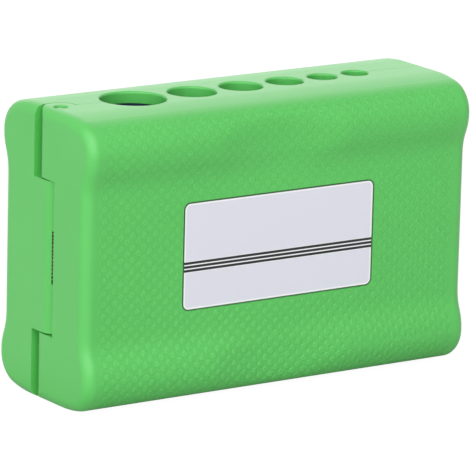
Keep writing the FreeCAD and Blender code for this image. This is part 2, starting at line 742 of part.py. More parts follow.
def build_blade(name, side, port):
    """Blade across the middle of a groove: an eared base, a neck in the slot, and a bevelled point."""
    body = new_body(name)
    point = f"{port_radius(port)} - sizes.blade_reach"
    shoulder = f"{point} + sizes.blade_tip_height"
    step = "places.block_back - sizes.blade_ear_height"
    half = [
        ("places.block_back", "sizes.blade_ear_length / 2"),
        (step, "sizes.blade_ear_length / 2"),
        (step, "sizes.blade_neck_length / 2"),
        (shoulder, "sizes.blade_neck_length / 2"),
        (point, "sizes.blade_tip_length / 2"),
    ]
    upper = [(outward(side, depth), f"places.middle + {up}") for depth, up in half]
    lower = [(outward(side, depth), f"places.middle - {up}") for depth, up in reversed(half)]
    grow(body, draw_outline(section_sketch(body, port_x(port)), upper + lower),
         "sizes.blade_thickness", symmetric=True)
    edge_depth = value(shoulder)

    def on_cutting_edge(edge):
        box = edge.BoundBox
        middle = (box.YMin + box.YMax) / 2
        return near(box.XMin, box.XMax) and side * middle < edge_depth - SAME

    bevel_edges(body, "sizes.blade_bevel", on_cutting_edge)
    return body


def build_screws(name, side):
    """The four screws that hold a guide block and its plate to the ledges."""
    body = new_body(name)
    body.AllowCompound = True
    grow(body, draw_screw_circles(body, outward(side, "places.screw_head_top"), "sizes.screw_head_diameter / 2"),
         "sizes.screw_head_height", reverse=side == BACK)
    grow(body, draw_screw_circles(body, outward(side, "places.screw_seat"), "sizes.screw_diameter / 2"),
         "places.screw_tip - places.screw_seat", reverse=side == BACK)
    return body


def build_all():
    """Every piece of the cutter, as bodies named for their nodes."""
    bodies = [build_front_shell(), build_back_shell(), build_hinge_pin(), build_hinge_spring(), build_label()]
    for name, side in SIDES.items():
        bodies.append(build_guide_block(f"{name}_guide_block", side))
        bodies.append(build_backing_plate(f"{name}_backing_plate", side))
        bodies += [build_blade(f"{name}_blade_{port}", side, port) for port in PORTS]
        bodies.append(build_screws(f"{name}_block_screws", side))
    return bodies


def check(bodies):
    """Stops if any object failed to build, or any piece isn't a sound solid."""
    for item in doc.Objects:
        if "Invalid" in item.State or "Error" in item.State:
            raise RuntimeError(f"{item.Label} failed: {item.State}")
    for sketch in doc.findObjects("Sketcher::SketchObject"):
        if not sketch.FullyConstrained:
            raise RuntimeError(f"{sketch.Label} isn't fully constrained")
    for body in bodies:
        if body.Shape.isNull() or not body.Shape.isValid() or not body.Shape.Solids:
            raise RuntimeError(f"{body.Label} has no sound solid")


def main():
    """Builds, checks and writes every piece."""
    bodies = build_all()
    doc.recompute()
    check(bodies)
    os.makedirs("parts", exist_ok=True)
    for body in bodies:
        body.Shape.exportStep(f"parts/{body.Label}.step")
        box = body.Shape.BoundBox
        print(f"{body.Label}: {len(body.Shape.Solids)} solid(s), {body.Shape.Volume:.1f} mm3, "
              f"x {box.XMin:.2f} to {box.XMax:.2f}, y {box.YMin:.2f} to {box.YMax:.2f}, "
              f"z {box.ZMin:.2f} to {box.ZMax:.2f}")


main()
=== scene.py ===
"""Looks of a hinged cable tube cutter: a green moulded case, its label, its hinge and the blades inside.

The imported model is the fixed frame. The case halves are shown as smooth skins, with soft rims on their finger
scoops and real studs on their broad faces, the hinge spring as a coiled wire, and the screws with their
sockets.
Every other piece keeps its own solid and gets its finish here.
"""

import logging
import math
from dataclasses import dataclass
from enum import Enum
from functools import cached_property

import bmesh
import bpy
import numpy
from bpy.types import ID, Material, Mesh, Node, NodeSocket, NodeTree, Object, World
from mathutils import Matrix, Vector
from mathutils.bvhtree import BVHTree
from mathutils.interpolate import poly_3d_calc


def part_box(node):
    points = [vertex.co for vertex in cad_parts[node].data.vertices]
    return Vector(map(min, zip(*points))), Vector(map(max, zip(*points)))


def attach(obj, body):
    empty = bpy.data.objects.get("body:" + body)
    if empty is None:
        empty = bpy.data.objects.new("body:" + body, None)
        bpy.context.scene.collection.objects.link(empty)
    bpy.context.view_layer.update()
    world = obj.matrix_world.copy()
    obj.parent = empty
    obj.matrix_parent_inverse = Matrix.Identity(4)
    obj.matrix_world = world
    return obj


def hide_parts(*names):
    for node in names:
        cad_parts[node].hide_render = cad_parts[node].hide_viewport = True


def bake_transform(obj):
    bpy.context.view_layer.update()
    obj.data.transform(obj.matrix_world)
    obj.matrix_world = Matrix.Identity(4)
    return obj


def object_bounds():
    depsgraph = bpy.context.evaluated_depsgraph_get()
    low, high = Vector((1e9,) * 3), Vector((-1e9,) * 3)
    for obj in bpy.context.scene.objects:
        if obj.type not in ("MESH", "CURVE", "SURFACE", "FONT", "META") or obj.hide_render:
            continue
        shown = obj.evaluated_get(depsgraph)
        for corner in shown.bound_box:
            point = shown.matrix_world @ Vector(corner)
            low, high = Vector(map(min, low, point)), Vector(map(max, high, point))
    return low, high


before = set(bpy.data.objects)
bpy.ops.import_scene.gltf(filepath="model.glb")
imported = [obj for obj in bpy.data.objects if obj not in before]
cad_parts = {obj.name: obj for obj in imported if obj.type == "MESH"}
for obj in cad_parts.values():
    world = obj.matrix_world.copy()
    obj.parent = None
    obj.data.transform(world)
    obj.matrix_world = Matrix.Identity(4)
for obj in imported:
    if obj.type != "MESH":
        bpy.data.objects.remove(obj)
cad_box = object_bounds()

MM = 0.001
PORTS = range(1, 7)
WHITE = (1.0, 1.0, 1.0, 1.0)
ORIGIN = (0.0, 0.0, 0.0)
UPRIGHT = (math.radians(90), 0.0, 0.0)
Colour = tuple[float, float, float, float]
Sockets = bpy.types.bpy_prop_collection

# Socket type of a group's input, by the type of what it takes.
SOCKET_TYPES = {float: "NodeSocketFloat", int: "NodeSocketInt", tuple: "NodeSocketVector",
                Object: "NodeSocketObject", Material: "NodeSocketMaterial"}

log = logging.getLogger("tube_cutter")


class Half(Enum):
    """The two halves of the case."""

    FRONT = "front"
    BACK = "back"

    @property
    def body(self) -> str:
        """Name of the body that the half is."""
        return f"{self.value}_half"

    @property
    def outward(self) -> int:
        """Sign of Y from the parting plane to the half's broad face."""
        return -1 if self is Half.FRONT else 1


class TreeKind(Enum):
    """Kinds of node group, each with the type of its tree and of what it puts out."""

    SHADER = ("ShaderNodeTree", "NodeSocketFloat")
    GEOMETRY = ("GeometryNodeTree", "NodeSocketGeometry")


class Graph:
    """A node tree, with short ways to add and join its nodes."""

    def __init__(self, tree: NodeTree) -> None:
        """Keeps the tree that the other methods work on."""
        self.tree = tree

    def add(self, kind: str, inputs: dict | None = None, **settings: object) -> Node:
        """Adds a node.

        Args:
            kind: The node's type name.
            inputs: Socket name or number to a value, or to the output that feeds it.
            settings: The node's own properties.

        Returns:
            The new node.
        """
        node = self.tree.nodes.new(kind)
        for name, setting in settings.items():
            setattr(node, name, setting)
        for name, source in (inputs or {}).items():
            self.feed(node.inputs[name], source)
        return node

    def feed(self, socket: NodeSocket, source: object) -> None:
        """Links a socket to an output, or gives it a plain value.

        Args:
            socket: The input socket.
            source: The output that feeds it, or its value.
        """
        if isinstance(source, NodeSocket):
            self.tree.links.new(source, socket)
        else:
            socket.default_value = source

    def math(self, operation: str, *values: object) -> NodeSocket:
        """Adds a math node and returns its output."""
        return self.add("ShaderNodeMath", dict(enumerate(values)), operation=operation).outputs[0]

    def vector_math(self, operation: str, *values: object) -> NodeSocket:
        """Adds a vector math node and returns its vector."""
        return self.add("ShaderNodeVectorMath", dict(enumerate(values)), operation=operation).outputs[0]

    def axes(self, place: NodeSocket) -> Sockets:
        """Splits a place into X, Y and Z."""
        return self.add("ShaderNodeSeparateXYZ", {"Vector": place}).outputs

    def point(self, x: object = 0.0, y: object = 0.0, z: object = 0.0) -> NodeSocket:
        """Joins X, Y and Z into a place."""
        return self.add("ShaderNodeCombineXYZ", {"X": x, "Y": y, "Z": z}).outputs[0]

    def away(self, value: object, middle: object) -> NodeSocket:
        """Distance of a value from a middle."""
        return self.math("ABSOLUTE", self.math("SUBTRACT", value, middle))

    def diagonal(self, *sides: object) -> NodeSocket:
        """Length of the diagonal over two sides."""
        squares = [self.math("POWER", side, 2.0) for side in sides]
        return self.math("SQRT", self.math("ADD", *squares))

    def swing(self, share: NodeSocket, middle: float, width: float) -> NodeSocket:
        """A value that crosses its middle as the share goes from 0 to 1."""
        return self.math("MULTIPLY_ADD", share, width, middle - width / 2)

    def noise(self, place: object, scale: object, detail: float) -> NodeSocket:
        """Adds a noise texture and returns its value."""
        inputs = {"Vector": place, "Scale": scale, "Detail": detail}
        return self.add("ShaderNodeTexNoise", inputs).outputs["Fac"]

    def ramp(self, value: object, start: object, end: object, low: float = 0.0,
             high: float = 1.0) -> NodeSocket:
        """Adds a smooth step.

        Args:
            value: What is mapped.
            start: Value that gives low.
            end: Value that gives high.
            low: Result before start.
            high: Result after end.

        Returns:
            The mapped value.
        """
        inputs = {"Value": value, "From Min": start, "From Max": end, "To Min": low, "To Max": high}
        return self.add("ShaderNodeMapRange", inputs, interpolation_type="SMOOTHSTEP").outputs["Result"]

    def blend(self, share: object, first: object, second: object) -> NodeSocket:
        """Adds a colour mix.

        Args:
            share: Share of the second colour.
            first: Colour where the share is 0.
            second: Colour where the share is 1.

        Returns:
            The mixed colour.
        """
        mix = self.add("ShaderNodeMix", data_type="RGBA")
        for name, source in (("Factor_Float", share), ("A_Color", first), ("B_Color", second)):
            self.feed(next(socket for socket in mix.inputs if socket.identifier == name), source)
        return next(socket for socket in mix.outputs if socket.identifier == "Result_Color")


class Group(Graph):
    """A node group with named inputs and outputs."""

    def __init__(self, name: str, kind: TreeKind, inputs: dict[str, object], *outputs: str) -> None:
        """Makes the group with its sockets.

        Args:
            name: Name of the group.
            kind: What the group makes.
            inputs: Input name to its default value, or to its type where it has no default.
            outputs: Names of the outputs.
        """
        tree_type, output_type = kind.value
        super().__init__(bpy.data.node_groups.new(name, tree_type))
        for label, default in inputs.items():
            no_default = isinstance(default, type)
            socket_type = SOCKET_TYPES[default if no_default else type(default)]
            socket = self.tree.interface.new_socket(label, in_out="INPUT", socket_type=socket_type)
            if not no_default:
                socket.default_value = default
        for label in outputs:
            self.tree.interface.new_socket(label, in_out="OUTPUT", socket_type=output_type)
        self.given = {socket.name: socket for socket in self.add("NodeGroupInput").outputs}
        self.result = self.add("NodeGroupOutput").inputs


def satin_group() -> NodeTree:
    """The skin of moulded plastic: slow patches of tone, and a fine spark-eroded texture.

    Returns:
        The group, with outputs Patch and Fine.
    """
    skin = Group("Satin skin", TreeKind.SHADER,
                 {"Vector": ORIGIN, "Patch Scale": 30.0, "Fine Scale": 2500.0}, "Patch", "Fine")
    for output, detail in (("Patch", 3.0), ("Fine", 2.0)):
        noise = skin.noise(skin.given["Vector"], skin.given[f"{output} Scale"], detail)
        skin.feed(skin.result[output], noise)
    return skin.tree


def stud_group() -> NodeTree:
    """The stud grain of the broad faces, as a height over the X-Z plane.

    Studs stand on the corners and in the middles of a rectangular lattice, each with a shallow dimple.

    Returns:
        The group, with output Height from 0 to 1.
    """
    grain = Group("Stud grain", TreeKind.SHADER, {
        "Vector": ORIGIN, "Pitch X": 3.0 * MM, "Pitch Z": 3.0 * MM, "Start X": 0.0, "Start Z": 0.0,
        "Foot": 0.8 * MM, "Top": 0.6 * MM, "Dimple": 0.3}, "Height")
    given = grain.given
    place = grain.axes(given["Vector"])
    distances = []
    for shift in (0.0, 0.5):
        offsets = []
        for axis in "XZ":
            pitch = given[f"Pitch {axis}"]
            cells = grain.math("DIVIDE", grain.math("SUBTRACT", place[axis], given[f"Start {axis}"]), pitch)
            moved = grain.math("ADD", cells, shift)
            share = grain.math("SUBTRACT", moved, grain.math("ROUND", moved))
            offsets.append(grain.math("MULTIPLY", share, pitch))
        distances.append(grain.diagonal(*offsets))
    nearest = grain.math("MINIMUM", *distances)
    stud = grain.ramp(nearest, given["Foot"], given["Top"])
    hollow = grain.math("MULTIPLY", grain.ramp(nearest, given["Top"], 0.0), given["Dimple"])
    grain.feed(grain.result["Height"], grain.math("SUBTRACT", stud, hollow))
    return grain.tree


def streak_group() -> NodeTree:
    """Fine streaks that drawing, rolling or grinding leaves on steel, over a slower cloud.

    Returns:
        The group, with outputs Tone and Height.
    """
    streak_detail, streak_share = 4.0, 0.7
    cloud_detail, cloud_scale = 2.0, 150.0
    steel = Group("Steel streaks", TreeKind.SHADER,
                  {"Vector": ORIGIN, "Stretch": (1.0, 1.0, 1.0), "Scale": 800.0}, "Tone", "Height")
    place = steel.given["Vector"]
    drawn = steel.vector_math("MULTIPLY", place, steel.given["Stretch"])
    streaks = steel.noise(drawn, steel.given["Scale"], streak_detail)
    clouds = steel.math("MULTIPLY", steel.noise(place, cloud_scale, cloud_detail), 1.0 - streak_share)
    steel.feed(steel.result["Tone"], steel.math("MULTIPLY_ADD", streaks, streak_share, clouds))
    steel.feed(steel.result["Height"], streaks)
    return steel.tree


def bare_tree(owner: Material | World) -> NodeTree:
    """Gives a material or the world an empty node tree.

    Args:
        owner: The material or the world.

    Returns:
        The tree.
    """
    owner.use_nodes = True
    owner.node_tree.nodes.clear()
    return owner.node_tree


class Surface(Graph):
    """A material with a Principled shader, on object coordinates."""

    def __init__(self, name: str) -> None:
        """Makes the material with its shader.

        Args:
            name: Name of the material.
        """
        self.material = bpy.data.materials.new(name)
        super().__init__(bare_tree(self.material))
        self.shader = self.add("ShaderNodeBsdfPrincipled")
        self.add("ShaderNodeOutputMaterial", {"Surface": self.shader.outputs[0]})
        self.place = self.add("ShaderNodeTexCoord").outputs["Object"]

    def finish(self, colour: NodeSocket, roughness: NodeSocket, height: NodeSocket,
               depth: float) -> Material:
        """Joins what varies over the surface to the shader.

        Args:
            colour: The base colour.
            roughness: The roughness.
            height: Height of the relief.
            depth: Depth of a relief with height 1.

        Returns:
            The material.
        """
        bump = self.add("ShaderNodeBump", {"Height": height, "Distance": depth}).outputs["Normal"]
        for name, source in (("Base Color", colour), ("Roughness", roughness), ("Normal", bump)):
            self.feed(self.shader.inputs[name], source)
        return self.material


@dataclass(frozen=True)
class StudLattice:
    """Where the studs of the grain stand, and their shape. Lengths are in metres."""

    pitch_x: float = 2.979 * MM
    pitch_z: float = 2.678 * MM
    start_x: float = -0.25 * MM
    start_z: float = 34.83 * MM
    foot: float = 0.84 * MM
    top: float = 0.66 * MM
    relief: float = 0.042 * MM
    sunk: float = 0.06 * MM
    dimple: float = 0.034 * MM
    dimple_share: float = 0.45
    reach_x: float = 47.2 * MM
    face_depth: float = 15.8 * MM
    sides: int = 12


@dataclass(frozen=True)
class MouldedPlastic:
    """Moulded plastic with a satin skin, and the stud grain where it has one, with painted shade between the
    studs and a painted highlight on their rims.
    """

    name: str
    colour: Colour
    shade: Colour
    roughness: float
    fine_depth: float
    lattice: StudLattice | None = None
    patch_low: float = 0.3
    patch_high: float = 0.7
    roughness_swing: float = 0.12
    grain_roughness: float = 0.12
    # Painted shade and highlight of the grain: its strength, and the grain height at which the colour stays as
    # it is.
    stud_shade_contrast: float = 0.075
    stud_shade_mean: float = 0.4
    fine_contrast: float = 0.18
    fine_mean: float = 0.5
    refraction: float = 1.5

    def build(self, satin: NodeTree, studs: NodeTree) -> Material:
        """Makes the material.

        Args:
            satin: The group of the moulded skin.
            studs: The group of the stud grain.

        Returns:
            The material.
        """
        skin = Surface(self.name)
        skin.shader.inputs["IOR"].default_value = self.refraction
        texture = skin.add("ShaderNodeGroup", {"Vector": skin.place}, node_tree=satin).outputs
        patch = skin.ramp(texture["Patch"], self.patch_low, self.patch_high)
        colour = skin.blend(patch, self.colour, self.shade)
        roughness = skin.swing(texture["Fine"], self.roughness, self.roughness_swing)
        height = skin.math("MULTIPLY", texture["Fine"], self.fine_depth / MM)
        if self.lattice:
            shown = self.grain_mask(skin)
            grain = self.grain(skin, studs)
            roughness = skin.math("MULTIPLY_ADD", shown, self.grain_roughness, roughness)
            stud = skin.math("MULTIPLY", shown, grain)
            height = skin.math("MULTIPLY_ADD", stud, self.lattice.relief / MM, height)
            # Painted shade and highlight: darker between the studs, lighter on their rims; the fine skin adds
            # specks of random tone.
            stud_shade = skin.math("MULTIPLY", shown, skin.math("SUBTRACT", grain, self.stud_shade_mean))
            speck = skin.math("MULTIPLY", shown, skin.math("SUBTRACT", texture["Fine"], self.fine_mean))
            tone = skin.math("MULTIPLY_ADD", stud_shade, self.stud_shade_contrast, 1.0)
            tone = skin.math("MULTIPLY_ADD", speck, self.fine_contrast, tone)
            colour = skin.vector_math("MULTIPLY", colour, tone)
        return skin.finish(colour, roughness, height, MM)

    def grain_mask(self, skin: Surface) -> NodeSocket:
        """Where the grain shows: full on the broad faces, fading before the ends and edges.

        Args:
            skin: The material that is built.

        Returns:
            The mask.
        """
        end, face, fade = self.lattice.reach_x, self.lattice.face_depth, self.lattice.foot
        axes = skin.axes(skin.place)
        along = skin.ramp(skin.math("ABSOLUTE", axes["X"]), end + fade, end)
        deep = skin.ramp(skin.math("ABSOLUTE", axes["Y"]), face - fade, face)
        return skin.math("MULTIPLY", along, deep)

    def grain(self, skin: Surface, studs: NodeTree) -> NodeSocket:
        """Height of the grain, from 0 between the studs to 1 on their rims.

        Args:
            skin: The material that is built.
            studs: The group of the stud grain.

        Returns:
            The height.
        """
        lattice = self.lattice
        inputs = {
            "Vector": skin.place, "Pitch X": lattice.pitch_x, "Pitch Z": lattice.pitch_z,
            "Start X": lattice.start_x, "Start Z": lattice.start_z, "Foot": lattice.foot, "Top": lattice.top,
            "Dimple": lattice.dimple / lattice.relief,
        }
        return skin.add("ShaderNodeGroup", inputs, node_tree=studs).outputs["Height"]


@dataclass(frozen=True)
class WorkedSteel:
    """Bare steel with streaks along the way it was drawn, rolled or ground."""

    name: str
    colour: Colour
    shade: Colour
    roughness: float
    stretch: tuple[float, float, float]
    metallic: float = 1.0
    roughness_swing: float = 0.2
    streak_depth: float = 0.004 * MM

    def build(self, streaks: NodeTree) -> Material:
        """Makes the material.

        Args:
            streaks: The group of the steel streaks.

        Returns:
            The material.
        """
        steel = Surface(self.name)
        steel.shader.inputs["Metallic"].default_value = self.metallic
        inputs = {"Vector": steel.place, "Stretch": self.stretch}
        drawn = steel.add("ShaderNodeGroup", inputs, node_tree=streaks).outputs
        colour = steel.blend(drawn["Tone"], self.shade, self.colour)
        roughness = steel.swing(drawn["Tone"], self.roughness, self.roughness_swing)
        return steel.finish(colour, roughness, drawn["Height"], self.streak_depth)


@dataclass(frozen=True)
class LabelFilm:
    """Pale printed film with a lighter rim, a band of dark stripes and a painted shadow line round its edge.
    The field below the band is bare.
    """

    name: str = "label_film"
    field_colour: Colour = (0.69, 0.69, 0.77, 1.0)
    rim_colour: Colour = (0.86, 0.87, 0.88, 1.0)
    stripe_colour: Colour = (0.004, 0.004, 0.006, 1.0)
    # Painted shade: colour and width of the shadow line that stands for the recess round the label.
    shadow_line_colour: Colour = (0.03, 0.085, 0.035, 1.0)
    rim: float = 0.6 * MM
    shadow_line: float = 0.24 * MM
    corner: float = 1.6 * MM
    edge_blur: float = 0.05 * MM
    stripes: int = 3
    stripe_middle: float = 9.955 * MM
    stripe_pitch: float = 0.863 * MM
    stripe_thickness: float = 0.6 * MM
    fibre_scale: float = 900.0
    fibre_detail: float = 3.0
    fibre_depth: float = 0.003 * MM
    roughness: float = 0.38
    roughness_swing: float = 0.1

    def build(self, low: Vector, high: Vector) -> Material:
        """Makes the material for a label in the X-Z plane.

        Args:
            low: Lowest corner of the label.
            high: Highest corner of the label.

        Returns:
            The material.
        """
        film = Surface(self.name)
        axes = film.axes(film.place)
        height = film.math("SUBTRACT", axes["Z"], low.z)
        inside = self.distance_inside(film, axes, low, high)
        colour = film.blend(self.within(film, inside, self.rim), self.field_colour, self.rim_colour)
        band = self.band(film, height, self.stripe_middle, self.stripes * self.stripe_pitch)
        colour = film.blend(band, colour, self.rim_colour)
        for number in range(self.stripes):
            middle = self.stripe_middle + (number - (self.stripes - 1) / 2) * self.stripe_pitch
            stripe = self.band(film, height, middle, self.stripe_thickness)
            colour = film.blend(stripe, colour, self.stripe_colour)
        # Painted shade: a dark green line along the edge stands for the shadow in the recess round the label.
        colour = film.blend(self.within(film, inside, self.shadow_line), colour, self.shadow_line_colour)
        fibre = film.noise(film.place, self.fibre_scale, self.fibre_detail)
        roughness = film.swing(fibre, self.roughness, self.roughness_swing)
        return film.finish(colour, roughness, fibre, self.fibre_depth)

    def within(self, film: Surface, value: NodeSocket, limit: float) -> NodeSocket:
        """Mask of where a value is under a limit, with a slightly soft edge."""
        return film.ramp(value, limit + self.edge_blur, limit - self.edge_blur)

    def band(self, film: Surface, height: NodeSocket, middle: float, thickness: float) -> NodeSocket:
        """Mask of a level band with its middle at the given height."""
        return self.within(film, film.away(height, middle), thickness / 2)

    def distance_inside(self, film: Surface, axes: Sockets, low: Vector, high: Vector) -> NodeSocket:
        """Distance from the label's rounded edge, counted inwards.

        Args:
            film: The material that is built.
            axes: X, Y and Z of the object coordinates.
            low: Lowest corner of the label.
            high: Highest corner of the label.

        Returns:
            The distance.
        """
        beyond = []
        for axis, least, most in (("X", low.x, high.x), ("Z", low.z, high.z)):
            away = film.away(axes[axis], (least + most) / 2)
            beyond.append(film.math("SUBTRACT", away, (most - least) / 2 - self.corner))
        rounded = film.diagonal(*[film.math("MAXIMUM", side, 0.0) for side in beyond])
        flat = film.math("MINIMUM", film.math("MAXIMUM", *beyond), 0.0)
        return film.math("SUBTRACT", self.corner, film.math("ADD", rounded, flat))


def add_object(name: str, data: ID) -> Object:
    """Makes an object of a mesh, a camera or a lamp, and puts it in the scene.

    Args:
        name: Name of the object.
        data: The mesh, camera or lamp.

    Returns:
        The object.
    """
    piece = bpy.data.objects.new(name, data)
    bpy.context.scene.collection.objects.link(piece)
    return piece


def mesh_of(work: bmesh.types.BMesh, name: str) -> Mesh:
    """Turns a bmesh into a mesh and frees it.

    Args:
        work: The bmesh.
        name: Name of the mesh.

    Returns:
        The mesh.
    """
    mesh = bpy.data.meshes.new(name)
    work.to_mesh(mesh)
    work.free()
    return mesh


def dress(node: str, material: Material) -> None:
    """Gives a CAD node its material.

    Args:
        node: Name of the node.
        material: Its material.
    """
    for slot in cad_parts[node].material_slots:
        slot.material = material
    log.info("%s wears %s", node, material.name)


def welded_copy(node: str, name: str) -> Object:
    """Copies a CAD node as a piece with joined faces, shaded by the node's own normals.

    Args:
        node: The node to copy.
        name: Name of the new piece.

    Returns:
        The piece, in place.
    """
    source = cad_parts[node].data
    places: dict[tuple[float, ...], int] = {}
    joined = [places.setdefault(tuple(vertex.co), len(places)) for vertex in source.vertices]
    faces = [[joined[corner] for corner in face.vertices] for face in source.polygons]
    mesh = bpy.data.meshes.new(name)
    mesh.from_pydata(list(places), [], faces)
    mesh.shade_smooth()
    mesh.normals_split_custom_set([corner.vector for corner in source.corner_normals])
    return add_object(name, mesh)


def finish_piece(piece: Object, material: Material, body: str, slot: str, *nodes: str) -> None:
    """Gives a new piece its material and its body, and hides the nodes that it stands for.

    Args:
        piece: The piece.
        material: Its material.
        body: The body that it rides on.
        slot: Name of a material slot; not used.
        nodes: The CAD nodes that it replaces.
    """
    piece.data.materials.clear()
    piece.data.materials.append(material)
    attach(piece, body)
    if nodes:
        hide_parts(*nodes)
    log.info("%s rides on %s", piece.name, body)


def realised(name: str, tree: NodeTree, values: dict[str, object]) -> Object:
    """Runs a geometry node tree and keeps its result as a plain mesh.

    Args:
        name: Name of the new piece.
        tree: The geometry node tree.
        values: Input name to value.

    Returns:
        The piece, in place, with no modifier.
    """
    piece = add_object(name, bpy.data.meshes.new(f"{name}_seed"))
    modifier = piece.modifiers.new("nodes", "NODES")
    modifier.node_group = tree
    for item in tree.interface.items_tree:
        if item.in_out == "INPUT" and item.name in values:
            modifier[item.identifier] = values[item.name]
    bpy.context.view_layer.update()
    evaluated = piece.evaluated_get(bpy.context.evaluated_depsgraph_get())
    mesh = bpy.data.meshes.new_from_object(evaluated)
    piece.modifiers.clear()
    piece.data = mesh
    mesh.name = name
    return piece


class BroadFace:
    """The outer surface of one half, as depth and normal over the X-Z plane."""

    def __init__(self, mesh: Mesh, outward: int) -> None:
        """Keeps a copy of the surface that later changes to the mesh don't reach.

        Args:
            mesh: The half's mesh.
            outward: Sign of Y from the parting plane to the broad face.
        """
        self.outward = outward
        self.places = [vertex.co.copy() for vertex in mesh.vertices]
        self.faces = [tuple(polygon.vertices) for polygon in mesh.polygons]
        self.loops = [tuple(polygon.loop_indices) for polygon in mesh.polygons]
        self.normals = [corner.vector.copy() for corner in mesh.corner_normals]
        self.tree = BVHTree.FromPolygons(self.places, self.faces)

    def normal(self, face: int, place: Vector) -> Vector:
        """Normal of a face at a place on it, blended from its corners.

        Args:
            face: Number of the face.
            place: The place on it.

        Returns:
            The normal.
        """
        shares = poly_3d_calc([self.places[corner] for corner in self.faces[face]], place)
        parts = [self.normals[loop] * share for loop, share in zip(self.loops[face], shares)]
        return sum(parts, Vector(ORIGIN)).normalized()

    def cast(self, x: float, z: float) -> tuple[float, Vector] | None:
        """Looks at the surface from outside.

        Args:
            x: Place along the case.
            z: Height.

        Returns:
            Depth of the surface from the parting plane, and its normal, or nothing where there is none.
        """
        # The case is longer than it is deep, so half its length lies well outside the broad face.
        start = Vector((x, self.outward * cad_box[1][0], z))
        place, _, face, _ = self.tree.ray_cast(start, Vector((0.0, -self.outward, 0.0)))
        if face is None:
            return None
        return place.y * self.outward, self.normal(face, place)


@dataclass
class Scoops:
    """The finger scoops of the broad faces, with their rims rounded off as a moulding has them.

    The plain profile of the case is read at plain_x, beside the scoops. The depth of the scoops below it is
    sampled over the X-Z plane and blurred, and the points within reach are set to the blurred depth.
    """

    reach: float = 24.0 * MM
    plain_x: float = 30.0 * MM
    cell: float = 1.0 * MM
    sample: float = 0.5 * MM
    softness: float = 2.0 * MM
    blur_reach: float = 6.0 * MM
    end_margin: float = 1.4 * MM
    end_fade: float = 3.5 * MM
    label_margin: float = 0.6 * MM
    parting_margin: float = 1.4 * MM
    least_facing: float = 0.2
    on_surface: float = 0.01 * MM
    cut_weld: float = 0.0001 * MM
    inset_share: float = 0.02

    def soften(self, half: Half, skin: Object) -> None:
        """Rounds off the rims of the scoops in one half.

        Args:
            half: Which half.
            skin: The half's case.
        """
        surface = BroadFace(skin.data, half.outward)
        dips = self.dips(surface)
        work = bmesh.new()
        work.from_mesh(skin.data)
        self.divide(work, half)
        work.verts.index_update()
        normals = {}
        for vertex in work.verts:
            if self.is_near(vertex.co, half):
                here = surface.cast(vertex.co.x, vertex.co.z)
                if here and abs(here[0] - vertex.co.y * half.outward) < self.on_surface:
                    vertex.co.y, normals[vertex.index] = self.lowered(surface, dips, vertex.co)
        work.to_mesh(skin.data)
        work.free()
        self.shade(skin.data, surface, normals)

    @cached_property
    def stretches(self) -> list[tuple[float, float]]:
        """Lowest and highest Z of the stretches below and above the label."""
        low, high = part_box("label_plate")
        return [(cad_box[0][2] + self.end_margin, low.z - self.label_margin),
                (high.z + self.label_margin, cad_box[1][2] - self.end_margin)]

    def is_level(self, z: float) -> bool:
        """True for a height within one of the stretches."""
        return any(low < z < high for low, high in self.stretches)

    def is_near(self, place: Vector, half: Half) -> bool:
        """True for a place on the half's own side that a scoop may reach."""
        return place.y * half.outward > 0.0 and abs(place.x) < self.reach and self.is_level(place.z)

    def dips(self, surface: BroadFace) -> list[numpy.ndarray]:
        """Depth of the softened scoops below the plain profile of the case.

        Args:
            surface: The half's surface.

        Returns:
            The depth over X and Z, and its slopes along X and Z.
        """
        across = numpy.arange(-self.reach, self.reach + self.sample, self.sample)
        up = numpy.arange(cad_box[0][2], cad_box[1][2], self.sample)
        depths = numpy.zeros((len(across), len(up)))
        for row, z in enumerate(up):
            plain = surface.cast(self.plain_x, z)
            if plain and self.is_level(z):
                for column, x in enumerate(across):
                    depths[column, row] = plain[0] - surface.cast(x, z)[0]
        steps = numpy.arange(-self.blur_reach, self.blur_reach + self.sample, self.sample)
        weights = numpy.exp(-(steps / self.softness) ** 2 / 2)
        weights /= weights.sum()
        for axis in (0, 1):
            depths = numpy.apply_along_axis(numpy.convolve, axis, depths, weights, "same")
        ends = numpy.minimum(up - cad_box[0][2], cad_box[1][2] - up)
        share = numpy.clip((ends - self.end_margin) / self.end_fade, 0.0, 1.0)
        depths *= share * share * (3 - 2 * share)
        return [depths, *numpy.gradient(depths, self.sample)]

    def lowered(self, surface: BroadFace, dips: list[numpy.ndarray],
                place: Vector) -> tuple[float, Vector]:
        """Where a point of the broad face goes.

        Args:
            surface: The half's surface before the change.
            dips: Depth of the softened scoops, and its slopes.
            place: The point.

        Returns:
            The point's new Y, and the normal there.
        """
        column, along = divmod((place.x + self.reach) / self.sample, 1.0)
        row, above = divmod((place.z - cad_box[0][2]) / self.sample, 1.0)
        column, row = int(column), int(row)
        across, up = numpy.array((1 - along, along)), numpy.array((1 - above, above))
        dip, slope_x, slope_z = (across @ grid[column:column + 2, row:row + 2] @ up for grid in dips)
        depth, facing = surface.cast(self.plain_x, place.z)
        out = surface.outward
        normal = Vector((slope_x, out, facing.z / (facing.y * out) + slope_z)).normalized()
        return min(depth - dip, cad_box[1][1]) * out, normal

    def divide(self, work: bmesh.types.BMesh, half: Half) -> None:
        """Cuts the broad face into small cells round the scoops.

        Args:
            work: The half's mesh.
            half: Which half.
        """
        count = round(2 * self.reach / self.cell)
        cuts = [((-self.reach + step * self.cell, 0.0, 0.0), (1.0, 0.0, 0.0)) for step in range(count + 1)]
        for low, high in self.stretches:
            count = math.floor((high - low) / self.cell)
            cuts += [((0.0, 0.0, low + step * self.cell), (0.0, 0.0, 1.0)) for step in range(count + 1)]
        faces = [face for face in work.faces if face.normal.y * half.outward > self.least_facing
                 and face.calc_center_median().y * half.outward > self.parting_margin]
        edges = dict.fromkeys(edge for face in faces for edge in face.edges)
        points = dict.fromkeys(point for face in faces for point in face.verts)
        part = [*faces, *edges, *points]
        for place, across in cuts:
            cut = bmesh.ops.bisect_plane(
                work, geom=part, dist=self.cut_weld, plane_co=place, plane_no=across)
            part = cut["geom"]

